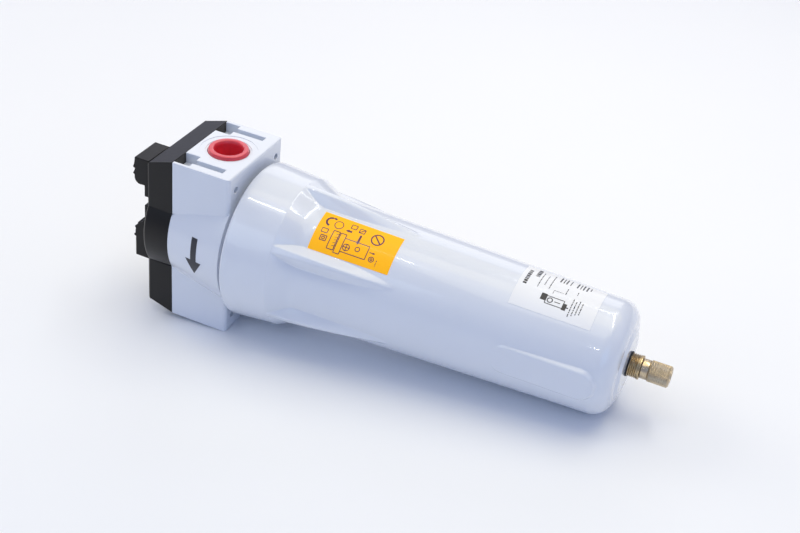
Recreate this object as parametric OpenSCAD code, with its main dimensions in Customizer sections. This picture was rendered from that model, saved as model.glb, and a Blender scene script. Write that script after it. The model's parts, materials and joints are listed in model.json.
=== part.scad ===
// In-line compressed air filter: head with two G 1 ports, screw-on bowl,
// coalescing element, and a float drain with a manual drain knob.
// +X runs along the filter from the head to the drain, +Z is the port axis.
// The origin is on the filter axis, in the head's face towards the bowl.

/* [Head] */
// Distance between the two port faces
port_to_port = 129; // [126:1:134]
// Thickness of the head along the filter axis
head_len = 46; // [46:1:50]
// Distance between the head's flat sides
head_width = 75.4; // [75:0.2:78]
// Minor radius of the port threads
port_r = 15.15; // [14:0.05:15.4]
// Depth of the port threads
port_depth = 17.5; // [14:0.5:17.5]
// Hole-to-hole distance of the bracket holes across the head
bracket_w = 57; // [56:1:59]
// Hole-to-hole distance of the bracket holes along the port axis
bracket_h = 106; // [105:1:107]
// Radius of the bracket holes
bracket_hole_r = 2.5; // [2:0.1:2.8]

/* [Bowl] */
// Radius of the bowl's rim beside the head
rim_r = 57.8; // [57:0.1:58]
// Place of the bowl's outer end
bowl_end = 287; // [285:1:300]
// Radius of the bowl's body at its far end
tip_r = 41; // [40.8:0.1:42]
// Radius of the bowl's body under the grip ridges
waist_r = 46.9; // [46.5:0.1:47.5]
// Number of grip ridges
ridge_count = 6; // [4:1:8]
// Radius of the thread between bowl and head
thread_r = 45; // [44.5:0.1:45]
// How far the bowl screws into the head
neck_len = 18; // [16:1:18]

/* [Element] */
// Outer radius of the drainage sock
sock_r = 35.5; // [34:0.5:35.5]
// Length of the filter element behind its top cap
element_len = 200; // [150:5:204]
// Number of pleats in the filter medium
pleats = 40; // [24:2:48]

/* [Drain] */
// Radius of the drain fitting's thread
drain_thread_r = 8.25; // [8:0.05:8.4]
// Radius of the knurled drain knob
knob_r = 7.5; // [7:0.1:8]
// Length of the drain fitting and its knob outside the bowl
drain_len = 29; // [26:0.5:30]

/* [Hidden] */
$fn = 96;
slack = 0.05;           // gap between pieces that are fixed to each other
running = 0.08;         // radial clearance of a sliding or turning fit
port_z = port_to_port / 2;
port_x = -head_len / 2;
back_x = -head_len;
flat_y = head_width / 2;
head_edge_r = 3;        // rounding of the head's edges towards the bowl
head_top_r = 1.5;
// Conical side bulges of the head
bulge_back_r = 43.9;
bulge_front_r = 51.9;
// Inside of the head
chamber_x = -24;        // floor of the outlet chamber
chamber_r = 42;
thread_x = -20;         // start of the bowl's thread
socket_r = 17;          // bore that takes the element's spigot
socket_x = -8;          // open end of that bore
inlet_x = -28;          // partition face towards the inlet chamber
back_wall = 4;
port_rim_r = 16.6;
port_rim_depth = 0.7;
spot_r = 20.8;
spot_depth = 0.3;
wall_step = 4;          // the element seat's wall round its bore
inlet_bore_r = 20;
inlet_slot_y = 12;
outlet_window_x = -13;
outlet_window_r = 6;
bracket_hole_depth = 12;
// Link grooves in the port faces
groove_depth = 8;
groove_y = 25.4;
groove_w = 5.2;
groove_end_x = -10;
notch_x = -34;
notch_y = 20;
notch_w = 15;
cover_hole_y = 22;      // places of the cover screws, on one diagonal
cover_hole_z = 49;
cover_hole_r = 2.6;
cover_thread_r = 2.1;
cover_thread_len = 9;
cover_boss_r = 6;
screw_head_r = 4.4;
screw_head_h = 2.75;
screw_socket_r = 1.7;
indicator_y = 6;
indicator_r = 4.5;
plug_head_r = 7;
plug_head_len = 3.5;
plug_seal_r = 6.4;
// Cover on the head's back
cover_len = 21;
cover_wall = 2.5;
cover_outer_x = back_x - cover_len;
cover_bulge_r = 44;
cover_end_z = 58;
cover_cavity_z = 52;
cover_edge_r = 2.5;
cover_chamfer = 2;
cap_hole_r = 9;
cap_lip = 1.8;
cap_slot_w = 1.8;
cap_slot_reach = 7;
// Indicator seat outside the cover: a high lug at each end, low tiers between them
lug_y0 = -36;
lug_y1 = -9.5;
lug_h = 11.2;
high_lug_z = [37, 58];
high_lug_r = 5;
low_lug_z = [-24.5, 7.2];
tier_h = 3.2;
tier_w = 11;
tier_z = [10, 28];
bead_r = 1.1;
bead_z = [-7, 45, 50.3];
bead_angles = [21, 45, 69];
// Red cap of the port
red_cap_r = 14.9;
red_cap_len = 15;
red_cap_proud = 1.7;
red_cap_mouth_r = 10.5;
red_cap_floor = 1.6;
// Bowl outside
gap_x = 4.2;
rim_x = 7;
skirt_x = 39.5;
skirt_r = 55.2;
wall_foot_x = 53;
wall_foot_r = 48.2;
foot_x = 58;            // end of the rounded foot of the flutes' end walls
foot_rise = 0.4;
waist_x = 66;
tip_x = 262;
corner_r = 14;
end_face_x = bowl_end - 2;
boss_r = 24;
boss_slope = 2;
draft = (waist_r - tip_r) / (tip_x - waist_x);
ridge_tip_x = 131;
ridge_turn = 1.6;       // where the screwed-on bowl comes to rest
ridge_foot_w = 7.4;     // half-widths at the skirt
ridge_crest_w = 2.4;
ridge_stations = 6;
pad_x = 238;
pad_len = 77;
pad_h = 25.6;
pad_slope = 3.2;        // width of the sloping edge, on each side
pad_root_y = 39;
pad_face_y = 42.4;
// Bowl inside
neck_bore_r = 40;
bottom_bore_r = 37.2;
bottom_x = 280;
bottom_corner = 10;
seal_x = -2;
seal_r = 43.55;
seal_section_r = 1.05;
seal_groove = 1.5;
// Element
spigot_r = socket_r - running;
cap_x = socket_x + 0.3;
plate = 5;
plate_x = cap_x + plate;
end_bore_r = 12;
o_ring_x = [-19.5, -13.5];
o_ring_r = 15.95;
o_ring_section_r = 0.9;
o_ring_groove_r = 15;
core_r = 17;
core_wall = 1.2;
core_hole_r = 4;
screen_hole_r = 5;
hole_rings = 5;
medium_inner_r = 19.2;
medium_outer_r = 29.6;
medium_t = 0.8;
screen_r = 31;
screen_wall = 0.8;
sock_t = 3.2;
element_end_x = plate_x + element_len;
cap_rim = 8;
cap_wall = 1.2;
// Drain
washer_t = 1.2;
washer_w = 0.5;
fitting_x0 = 276;
fitting_x1 = bowl_end + 9;
fitting_bore_r = 3.2;
fitting_floor = 3;      // wall that holds the valve seat
valve_r = 1.3;
collar_r = 8.4;
collar_len = 1.2;
spindle_r = fitting_bore_r - running;
spindle_o_ring_x = 290;
spindle_groove_r = 2.1;
drain_bore_r = 1;
side_bore_x = 284;
side_bore_r = 0.6;
knob_x0 = fitting_x1 + 0.3;
knob_x1 = bowl_end + drain_len;
knob_skirt_r = 6.9;
knob_skirt_len = 5.2;
knurl_x = knob_x0 + knob_skirt_len;
neck_r = 2.5;
head_r = 3.1;           // head of the spindle that holds the knob
outlet_r = 4;
outlet_len = 3.5;
knob_seat_r = 3.5;
// Float drain
cage_x0 = 236;
cage_r = 24;
cage_wall = 2;
cage_hole_r = 4;
cage_hole_ring_r = 13;
cage_window_x = 258;
cage_window_r = 4.5;
strainer_x = [245, 272];
strainer_wall = 0.55;
float_x0 = 247;
float_x1 = 267;
float_r = 19;
guide_r = 4;
guide_end_r = 2.5;
pad_r = 3;
jet_r = 1.6;
jet_foot = 0.4;
jet_bore_r = 0.6;
jet_z = 12;
// Labels
label_t = 0.2;
label_gap = 0.02;
instruction_x = [61, 121];
instruction_angle = [41, 79];
rating_x = [204.5, 261];
rating_angle = [53, 109];
arrow_x = [-36, -8];
arrow_angle = 24;

function body_r(x) = waist_r - draft * (x - waist_x);
function arc(cx, cr, rad, a0, a1, steps) =
    [for (i = [0:steps]) let (a = a0 + (a1 - a0) * i / steps) [cr + rad * sin(a), cx + rad * cos(a)]];

// Turns a profile of [radius, x] points about the filter axis
module revolve(points) rotate([0, 90, 0]) rotate_extrude() polygon(points);
module rod_x(x0, x1, r, y = 0, z = 0) translate([x0, y, z]) rotate([0, 90, 0]) cylinder(h = x1 - x0, r = r);
module tube_x(x0, x1, outer, inner) revolve([[inner, x0], [outer, x0], [outer, x1], [inner, x1]]);
module ring_x(x, r, section)
    rotate([0, 90, 0]) rotate_extrude() translate([r, x]) circle(r = section, $fn = 32);
// A box between two corners
module span(low, high) translate(low) cube(high - low);
// Places something built on the -Y side at an angle about the filter axis, 90 being upwards
module at_angle(a) rotate([-a, 0, 0]) children();
// Mirrors a shape about the plane z = 0 and keeps the original
module both_ports() { children(); mirror([0, 0, 1]) children(); }
module both_sides() { children(); mirror([0, 1, 0]) children(); }
// Sector of the space round the filter axis, between two angles
module sector(x0, x1, a0, a1, r)
    translate([x0, 0, 0]) rotate([0, 90, 0]) rotate([0, 0, 180]) linear_extrude(x1 - x0)
        polygon([[0, 0], for (i = [0:4]) let (a = a0 + (a1 - a0) * i / 4) r * [sin(a), cos(a)]]);
// Thin skin on a turned surface given as [radius, x] points from x0 to x1, between two angles
module skin(path, a0, a1) {
    last = len(path) - 1;
    intersection() {
        revolve(concat(
            [for (p = path) [p[0] + label_gap, p[1]]],
            [for (i = [last:-1:0]) [path[i][0] + label_t, path[i][1]]]));
        sector(path[0][1] - 1, path[last][1] + 1, a0, a1, 2 * path[0][0]);
    }
}

// Outline from x = -length to 0, its two corners at x = 0 rounded
module nosed(length, half, r) {
    translate([-length, -half]) square([length - r, 2 * half]);
    translate([-length, r - half]) square([length, 2 * (half - r)]);
    for (s = [-1, 1]) translate([-r, s * (half - r)]) circle(r = r);
}

/* ---- head ---- */
module head_block() {
    intersection() {
        translate([0, 0, -port_z]) linear_extrude(port_to_port) nosed(head_len, flat_y, head_edge_r);
        translate([0, flat_y, 0]) rotate([90, 0, 0])
            linear_extrude(head_width) nosed(head_len, port_z, head_top_r);
    }
    translate([back_x, 0, 0]) rotate([0, 90, 0])
        cylinder(h = head_len, r1 = bulge_back_r, r2 = bulge_front_r);
}

module port() {
    translate([port_x, 0, port_z - port_depth]) cylinder(h = port_depth + 1, r = port_r);
    translate([port_x, 0, port_z - port_rim_depth]) cylinder(h = port_rim_depth + 1, r = port_rim_r);
    translate([port_x, 0, port_z - spot_depth]) cylinder(h = 1, r = spot_r);
}

module link_groove() {
    span([notch_x - 1, groove_y, port_z - groove_depth], [groove_end_x, groove_y + groove_w, port_z + 1]);
    span([back_x - 1, notch_y, port_z - groove_depth], [notch_x, notch_y + notch_w, port_z + 1]);
}

module bracket_hole() rod_x(-bracket_hole_depth, 1, bracket_hole_r, bracket_w / 2, bracket_h / 2);

module filter_head() color([0.88, 0.9, 0.94]) difference() {
    union() {
        difference() {
            head_block();
            rod_x(thread_x, 1, thread_r);
            rod_x(chamber_x, thread_x + 1, chamber_r);
        }
        rod_x(inlet_x, socket_x, socket_r + wall_step);
    }
    rod_x(inlet_x - 1, socket_x + 1, socket_r);
    rod_x(back_x + back_wall, inlet_x, inlet_bore_r);
    span([back_x + back_wall, -inlet_slot_y, 0], [inlet_x, inlet_slot_y, port_z - port_depth + 1]);
    both_ports() port();
    translate([outlet_window_x, 0, -port_z + port_depth - 1]) cylinder(h = 10, r = outlet_window_r);
    both_ports() both_sides() link_groove();
    both_ports() both_sides() bracket_hole();
    for (s = [-1, 1])
        rod_x(back_x - 1, back_x + cover_thread_len, cover_thread_r, s * cover_hole_y, s * cover_hole_z);
    rod_x(back_x - 1, back_x + back_wall + 1, indicator_r, indicator_y, 0);
}

/* ---- cover ---- */
// Side view of the cover, as [x, z]: it narrows towards its outer face
module cover_side() polygon([
    [back_x, port_z], [cover_outer_x + cover_chamfer, cover_end_z + cover_chamfer / 3],
    [cover_outer_x, cover_end_z - cover_chamfer], [cover_outer_x, cover_chamfer - cover_end_z],
    [cover_outer_x + cover_chamfer, -cover_end_z - cover_chamfer / 3], [back_x, -port_z]]);

module cover_shell() intersection() {
    union() {
        translate([cover_outer_x, 0, -port_z]) mirror([1, 0, 0])
            linear_extrude(port_to_port) nosed(cover_len, flat_y, cover_edge_r);
        revolve(concat([[0, back_x], [cover_bulge_r, back_x]],
            arc(cover_outer_x + cover_edge_r, cover_bulge_r - cover_edge_r, cover_edge_r, 90, 180, 6),
            [[0, cover_outer_x]]));
    }
    translate([0, cover_bulge_r + 1, 0]) rotate([90, 0, 0])
        linear_extrude(2 * cover_bulge_r + 2) cover_side();
}

// Lug between two heights, as [x, z], its lower outer corner rounded
module lug_profile(low, high, round_r) {
    outer_x = cover_outer_x - lug_h;
    translate([outer_x, low + round_r]) square([lug_h + 1, high - low - round_r]);
    translate([outer_x + round_r, low]) square([lug_h - round_r + 1, high - low]);
    translate([outer_x + round_r, low + round_r]) circle(r = round_r);
}

// Side view of the indicator seat, as [x, z], with moulded grip beads on the lugs
module seat_profile() {
    outer_x = cover_outer_x - lug_h;
    lug_profile(high_lug_z[0], high_lug_z[1], high_lug_r);
    mirror([0, 1]) lug_profile(-low_lug_z[1], -low_lug_z[0], lug_h);
    for (z = bead_z) translate([outer_x, z]) circle(r = bead_r, $fn = 24);
    for (z = tier_z) translate([cover_outer_x - tier_h, z]) square([tier_h + 1, tier_w]);
    for (a = bead_angles)
        translate([outer_x + lug_h * (1 - cos(a)), low_lug_z[1] - lug_h * (1 - sin(a))])
            circle(r = bead_r, $fn = 24);
}

// Bosses inside the cover carry its two screws
module cover_bosses() for (s = [-1, 1])
    rod_x(cover_outer_x + 1, back_x - slack, cover_boss_r, s * cover_hole_y, s * cover_hole_z);

module top_cover() color([0.13, 0.13, 0.14]) difference() {
    union() {
        difference() {
            cover_shell();
            span([cover_outer_x + cover_wall, cover_wall - flat_y, -cover_cavity_z],
                 [back_x + 1, flat_y - cover_wall, cover_cavity_z]);
        }
        cover_bosses();
        rotate([90, 0, 0]) translate([0, 0, -lug_y1]) linear_extrude(lug_y1 - lug_y0) seat_profile();
    }
    rod_x(cover_outer_x - 1, back_x, cap_hole_r, indicator_y, 0);
    for (s = [-1, 1])
        rod_x(cover_outer_x - 1, back_x + 1, cover_hole_r, s * cover_hole_y, s * cover_hole_z);
}

module cover_screw(y, z) difference() {
    union() {
        rod_x(cover_outer_x - screw_head_h - slack, cover_outer_x - slack, screw_head_r, y, z);
        rod_x(cover_outer_x - 1, back_x + cover_thread_len - 1, cover_thread_r - slack, y, z);
    }
    translate([cover_outer_x - screw_head_h - 1, y, z]) rotate([0, 90, 0])
        cylinder(h = screw_head_h, r = screw_socket_r, $fn = 6);
}

module cover_screws() color([0.6, 0.6, 0.62])
    for (s = [-1, 1]) cover_screw(s * cover_hole_y, s * cover_hole_z);

module indicator_plug() color([0.78, 0.66, 0.35]) {
    rod_x(back_x - 1, back_x + back_wall, indicator_r - slack, indicator_y, 0);
    translate([back_x - 1 - plug_head_len, indicator_y, 0]) rotate([0, 90, 0])
        cylinder(h = plug_head_len, r = plug_head_r, $fn = 6);
}

module indicator_plug_seal() color([0.1, 0.1, 0.1]) difference() {
    rod_x(back_x - 1 + slack, back_x - slack, plug_seal_r, indicator_y, 0);
    rod_x(back_x - 2, back_x + 1, indicator_r, indicator_y, 0);
}

// Blanking cap for the indicator opening, with a slot for a coin
module indicator_cap() color([0.18, 0.18, 0.19]) difference() {
    union() {
        rod_x(cover_outer_x - 1, cover_outer_x + cover_wall + 1.5, cap_hole_r - running, indicator_y, 0);
        rod_x(cover_outer_x - 2, cover_outer_x - 0.3, cap_hole_r + cap_lip, indicator_y, 0);
    }
    span([cover_outer_x - 3, indicator_y - cap_slot_reach, -cap_slot_w / 2],
         [cover_outer_x - 0.9, indicator_y + cap_slot_reach, cap_slot_w / 2]);
    rod_x(cover_outer_x + 1, cover_outer_x + 6, cap_hole_r - 2, indicator_y, 0);
}

// Hollow push-in cap of the port that faces up
module port_plug() color([0.9, 0.2, 0.24]) translate([port_x, 0, port_z]) rotate_extrude() polygon([
    [0, -red_cap_len], [red_cap_r - 1.3, -red_cap_len], [red_cap_r, -0.4],
    [red_cap_r - 0.5, red_cap_proud - 0.6], [red_cap_r - 1, red_cap_proud],
    [red_cap_mouth_r, red_cap_proud], [red_cap_mouth_r - 0.4, -0.3],
    [red_cap_mouth_r - 0.9, red_cap_floor - red_cap_len], [0, red_cap_floor - red_cap_len]]);

// Flow arrow on the head's side bulge, pointing from the inlet port to the outlet port
module flow_arrow() color([0.25, 0.27, 0.3]) intersection() {
    slope = (bulge_front_r - bulge_back_r) / head_len;
    skin([for (x = arrow_x) [bulge_front_r + slope * x, x]], -arrow_angle, arrow_angle);
    rotate([90, 0, 0]) linear_extrude(60)
        polygon([[-24.5, 15], [-19.5, 15], [-19.5, -3], [-15, -3], [-22, -15], [-29, -3], [-24.5, -3]]);
}

/* ---- bowl ---- */
function bowl_outline() = concat(
    [[neck_bore_r, -neck_len], [thread_r - running, -neck_len], [thread_r - running, seal_x - seal_groove],
     [seal_r - seal_section_r - 0.15, seal_x - seal_groove],
     [seal_r - seal_section_r - 0.15, seal_x + seal_groove],
     [thread_r - running, seal_x + seal_groove], [thread_r - running, gap_x], [rim_r - 6, gap_x],
     [rim_r - 2.2, gap_x + 0.8], [rim_r - 0.5, rim_x - 1.4], [rim_r, rim_x + 1],
     [skirt_r, skirt_x], [wall_foot_r, wall_foot_x], [body_r(foot_x) + foot_rise, foot_x],
     [waist_r, waist_x]],
    arc(end_face_x - corner_r, body_r(end_face_x) - corner_r, corner_r, 90, 0, 8),
    [[boss_r + boss_slope, end_face_x], [boss_r, bowl_end], [0, bowl_end], [0, bottom_x]],
    arc(bottom_x - bottom_corner, bottom_bore_r - bottom_corner, bottom_corner, 0, 90, 6));

// Corners of a grip ridge's section at a share t of its length: the crest sinks along an arch
function ridge_section(t) =
    let (x = skirt_x - 1 + t * (ridge_tip_x - skirt_x + 1),
         crest_r = skirt_r - 0.1 - (skirt_r - body_r(ridge_tip_x) + 0.3) * pow(t, 1.6),
         crest_w = max(0.1, ridge_crest_w * (1 - 1.4 * t)),
         foot_w = 0.3 + ridge_foot_w * (1 - pow(t, 3)))
    [[x, 1 - body_r(x), -foot_w], [x, 1 - body_r(x), foot_w],
     [x, -crest_r, crest_w], [x, -crest_r, -crest_w]];

module ridge() {
    last = ridge_stations - 1;
    polyhedron(
        points = [for (i = [0:last], corner = ridge_section(i / last)) corner],
        faces = concat(
            [[0, 1, 2], [0, 2, 3],
             [4 * last + 2, 4 * last + 1, 4 * last], [4 * last + 3, 4 * last + 2, 4 * last]],
            [for (i = [0:last - 1], k = [0:3]) [4 * i + k, 4 * i + 4 + (k + 1) % 4, 4 * i + (k + 1) % 4]],
            [for (i = [0:last - 1], k = [0:3]) [4 * i + k, 4 * i + 4 + k, 4 * i + 4 + (k + 1) % 4]]));
}

// Raised obround wrench pad with sloping edges; its flat face is parallel to the axis
module wrench_pad() translate([pad_x, -pad_root_y, 0]) rotate([90, 0, 0]) {
    reach = (pad_len - pad_h) / 2;
    rise = pad_face_y - pad_root_y;
    root_h = pad_h / 2;
    face_h = root_h - pad_slope;
    for (s = [-1, 1]) translate([s * reach, 0, 0]) cylinder(h = rise, r1 = root_h, r2 = face_h);
    rotate([90, 0, 90]) translate([0, 0, -reach]) linear_extrude(2 * reach)
        polygon([[-root_h, -1], [root_h, -1], [root_h, 0], [face_h, rise], [-face_h, rise], [-root_h, 0]]);
}

module bowl() color([0.88, 0.9, 0.94]) difference() {
    union() {
        revolve(bowl_outline());
        for (i = [0:ridge_count - 1]) at_angle(90 + ridge_turn + i * 360 / ridge_count) ridge();
        both_sides() wrench_pad();
    }
    rod_x(bottom_x - 1, bowl_end + 1, drain_thread_r + slack);
}

module bowl_seal() color([0.08, 0.08, 0.08]) ring_x(seal_x, seal_r, seal_section_r);

// It starts on the foot of a flute's end wall
module instruction_label() color([1, 0.72, 0.12]) skin([
    [lookup(instruction_x[0], [[foot_x, body_r(foot_x) + foot_rise], [waist_x, waist_r]]),
     instruction_x[0]],
    [waist_r, waist_x],
    [body_r(instruction_x[1]), instruction_x[1]]], instruction_angle[0], instruction_angle[1]);

module rating_label() color([0.95, 0.95, 0.95])
    skin([for (x = rating_x) [body_r(x), x]], rating_angle[0], rating_angle[1]);

/* ---- element ---- */
module element_top_cap() color([0.2, 0.22, 0.26]) revolve([
    [end_bore_r, chamber_x], [spigot_r, chamber_x],
    for (x = o_ring_x) each [
        [spigot_r, x - 1], [o_ring_groove_r, x - 1], [o_ring_groove_r, x + 1], [spigot_r, x + 1]],
    [spigot_r, cap_x], [sock_r + cap_wall, cap_x],
    [sock_r + cap_wall, plate_x + cap_rim], [sock_r + slack, plate_x + cap_rim], [sock_r + slack, plate_x],
    [end_bore_r, plate_x]]);

module element_o_rings() color([0.08, 0.08, 0.08])
    for (x = o_ring_x) ring_x(x, o_ring_r, o_ring_section_r);

// Rings of drilled holes through a tube of the element
module tube_holes(r) for (i = [0:hole_rings - 1]) for (j = [0:2])
    translate([plate_x + element_len * (i + 0.5) / hole_rings, 0, 0]) rotate([60 * j, 0, 0])
        cylinder(h = 2 * sock_r, r = r, center = true);

module element_core() color([0.75, 0.76, 0.78]) difference() {
    tube_x(plate_x + slack, element_end_x - slack, core_r + core_wall, core_r);
    tube_holes(core_hole_r);
}

function pleat(outer, inner) = [for (i = [0:2 * pleats - 1]) let (r = i % 2 == 0 ? outer : inner)
    r * [cos(180 * i / pleats), sin(180 * i / pleats)]];

module filter_medium() color([0.93, 0.93, 0.88]) translate([plate_x + slack, 0, 0]) rotate([0, 90, 0])
    linear_extrude(element_len - 2 * slack) difference() {
        polygon(pleat(medium_outer_r, medium_inner_r + medium_t));
        polygon(pleat(medium_outer_r - medium_t, medium_inner_r));
    }

module element_screen() color([0.75, 0.76, 0.78]) difference() {
    tube_x(plate_x + slack, element_end_x - slack, screen_r + screen_wall, screen_r);
    tube_holes(screen_hole_r);
}

module drainage_sock() color([0.85, 0.82, 0.4])
    tube_x(plate_x + slack, element_end_x - slack, sock_r, sock_r - sock_t);

module element_bottom_cap() color([0.2, 0.22, 0.26]) revolve([
    [0, element_end_x], [sock_r + slack, element_end_x], [sock_r + slack, element_end_x - cap_rim],
    [sock_r + cap_wall, element_end_x - cap_rim], [sock_r + cap_wall, element_end_x + 4],
    [10, element_end_x + 4], [8, element_end_x + 6], [0, element_end_x + 6]]);

/* ---- drain ---- */
module float_housing() color([0.3, 0.32, 0.36]) difference() {
    union() {
        tube_x(cage_x0, bottom_x - slack, cage_r, cage_r - cage_wall);
        tube_x(bottom_x - 2 * cage_wall, bottom_x - slack, cage_r - 1, drain_thread_r + 0.4);
        difference() {
            rod_x(cage_x0 - cage_wall, cage_x0, cage_r);
            for (a = [45:90:315])
                rotate([a, 0, 0]) rod_x(cage_x0 - 3, cage_x0 + 1, cage_hole_r, cage_hole_ring_r);
        }
    }
    rod_x(cage_x0 - 3, cage_x0 + 1, guide_end_r);
    rod_x(bottom_x - 5, bottom_x, jet_r + jet_foot + slack, 0, jet_z);
    for (i = [0:2]) translate([cage_window_x, 0, 0]) rotate([60 * i, 0, 0])
        cylinder(h = 3 * cage_r, r = cage_window_r, center = true);
}

// Stem on the filter axis that the float slides on
module float_guide() color([0.75, 0.76, 0.78]) {
    rod_x(cage_x0 + slack, fitting_x0 - slack, guide_r);
    rod_x(cage_x0 - cage_wall, cage_x0 + 1, guide_end_r - slack);
}

module drain_float() color([0.9, 0.88, 0.8]) difference() {
    rod_x(float_x0, float_x1, float_r);
    rod_x(float_x0 - 1, float_x1 + 1, guide_r + running);
    rod_x(float_x1 - 1, float_x1 + 1, pad_r + slack, 0, jet_z);
}

module float_pad() color([0.1, 0.1, 0.1]) rod_x(float_x1 - 1 + slack, float_x1 + 0.5, pad_r, 0, jet_z);

module pilot_jet() color([0.8, 0.67, 0.36]) difference() {
    union() {
        rod_x(float_x1 + 0.8, bottom_x - slack, jet_r, 0, jet_z);
        rod_x(bottom_x - 5, bottom_x - slack, jet_r + jet_foot, 0, jet_z);
    }
    rod_x(float_x1, bottom_x + 1, jet_bore_r, 0, jet_z);
}

module drain_strainer() color([0.7, 0.71, 0.73])
    tube_x(strainer_x[0], strainer_x[1], cage_r + slack + strainer_wall, cage_r + slack);

module drain_washer() color([0.12, 0.12, 0.12])
    tube_x(bowl_end + slack, bowl_end + washer_t,
           drain_thread_r + slack + washer_w, drain_thread_r + slack);

module drain_fitting() color([0.78, 0.64, 0.34]) difference() {
    union() {
        rod_x(fitting_x0, fitting_x1 - 1, drain_thread_r);
        rod_x(fitting_x1 - collar_len, fitting_x1, collar_r);
    }
    rod_x(fitting_x0 + fitting_floor, fitting_x1 + 1, fitting_bore_r);
    rod_x(fitting_x0 - 1, fitting_x0 + fitting_floor + 1, valve_r);
}

// Its conical tip closes the valve seat; a cross hole leads from there through the spindle to the outlet
module drain_spindle() color([0.8, 0.67, 0.36]) difference() {
    tip_x = fitting_x0 + fitting_floor + 0.4;
    shoulder_x = knob_x0 + 2.4;
    head_x = knob_x1 - outlet_len - 2;
    revolve([[0, tip_x], [valve_r - 0.1, tip_x], [spindle_r, tip_x + 2.6],
             [spindle_r, spindle_o_ring_x - 1],
             [spindle_groove_r, spindle_o_ring_x - 1], [spindle_groove_r, spindle_o_ring_x + 1],
             [spindle_r, spindle_o_ring_x + 1], [spindle_r, shoulder_x], [neck_r, shoulder_x],
             [neck_r, head_x], [head_r, head_x], [head_r, head_x + 1.4], [0, head_x + 1.4]]);
    rod_x(side_bore_x, knob_x1, drain_bore_r);
    translate([side_bore_x + side_bore_r, 0, 0]) cylinder(h = 8, r = side_bore_r, center = true);
}

module spindle_o_ring() color([0.08, 0.08, 0.08]) ring_x(spindle_o_ring_x, 2.65, 0.45);

module knob_blank() {
    rod_x(knob_x0, knurl_x + 1, knob_skirt_r);
    revolve([[0, knurl_x], [knob_r - 0.5, knurl_x], [knob_r, knurl_x + 0.6], [knob_r, knob_x1 - 0.8],
             [knob_r - 0.7, knob_x1], [0, knob_x1]]);
}

module drain_knob() color([0.78, 0.64, 0.34]) difference() {
    knob_blank();
    rod_x(knob_x0 - 1, knob_x0 + 2.7, spindle_r + 0.3);
    rod_x(knob_x0, knob_x1, neck_r + running);
    rod_x(knob_x1 - outlet_len - 2.4, knob_x1 + 1, knob_seat_r);
    rod_x(knob_x1 - outlet_len, knob_x1 + 1, outlet_r);
}

filter_head();
top_cover();
cover_screws();
indicator_plug();
indicator_plug_seal();
indicator_cap();
port_plug();
flow_arrow();
bowl_seal();
bowl();
instruction_label();
rating_label();
element_top_cap();
element_o_rings();
element_core();
filter_medium();
element_screen();
drainage_sock();
element_bottom_cap();
float_housing();
float_guide();
drain_float();
float_pad();
pilot_jet();
drain_strainer();
drain_washer();
drain_fitting();
drain_spindle();
spindle_o_ring();
drain_knob();
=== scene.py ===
"""A compressed air filter lying on a pale floor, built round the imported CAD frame.

Lengths are in millimetres, in the row frame, until a mesh is made. Places of lights and of the camera are
in metres. +X runs along the filter's axis from the head to the drain. An angle about that axis is 0 on the
-Y side and 90 degrees at the top.
"""
import json
import math

import bmesh
import bpy
import numpy as np
from mathutils import Matrix, Vector


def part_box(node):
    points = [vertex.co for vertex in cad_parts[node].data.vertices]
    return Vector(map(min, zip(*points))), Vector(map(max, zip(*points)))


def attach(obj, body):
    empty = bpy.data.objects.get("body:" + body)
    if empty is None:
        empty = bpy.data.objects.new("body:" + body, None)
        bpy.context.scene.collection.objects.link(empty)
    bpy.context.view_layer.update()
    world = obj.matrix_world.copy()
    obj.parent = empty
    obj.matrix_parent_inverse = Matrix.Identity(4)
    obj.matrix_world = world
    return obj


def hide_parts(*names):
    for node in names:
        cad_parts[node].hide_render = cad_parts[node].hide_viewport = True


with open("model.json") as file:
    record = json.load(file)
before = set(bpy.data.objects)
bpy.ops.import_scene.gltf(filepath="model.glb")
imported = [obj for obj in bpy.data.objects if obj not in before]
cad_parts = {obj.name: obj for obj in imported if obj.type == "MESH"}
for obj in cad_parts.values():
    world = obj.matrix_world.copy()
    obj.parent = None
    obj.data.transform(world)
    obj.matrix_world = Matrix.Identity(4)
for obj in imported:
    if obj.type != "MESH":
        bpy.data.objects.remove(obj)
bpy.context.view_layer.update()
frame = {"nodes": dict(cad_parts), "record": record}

MM = 0.001
BODY_OF = {node: body for body, nodes in frame["record"]["behaviour"]["bodies"].items() for node in nodes}
SLOT_OF = {part["node"]: part["material_slot"] for part in frame["record"]["subparts"]}


def node_box(node):
    """Lowest and highest corner of a CAD node in millimetres."""
    low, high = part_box(node)
    return low / MM, high / MM


# ---------------------------------------------------------------- materials

def new_material(name, color, roughness, metallic=0.0):
    mat = bpy.data.materials.new(name)
    mat.use_nodes = True
    shader = mat.node_tree.nodes["Principled BSDF"]
    shader.inputs["Base Color"].default_value = (*color, 1.0)
    shader.inputs["Roughness"].default_value = roughness
    shader.inputs["Metallic"].default_value = metallic
    return mat, mat.node_tree, shader


def noise(tree, scale, detail=3.0, stretch=(1, 1, 1)):
    """Noise in object coordinates; scale is the number of features in a metre."""
    nodes, links = tree.nodes, tree.links
    coords = nodes.new("ShaderNodeTexCoord")
    mapping = nodes.new("ShaderNodeMapping")
    mapping.inputs["Scale"].default_value = stretch
    texture = nodes.new("ShaderNodeTexNoise")
    texture.inputs["Scale"].default_value = scale
    texture.inputs["Detail"].default_value = detail
    links.new(coords.outputs["Object"], mapping.inputs["Vector"])
    links.new(mapping.outputs["Vector"], texture.inputs["Vector"])
    return texture.outputs["Fac"]


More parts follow.
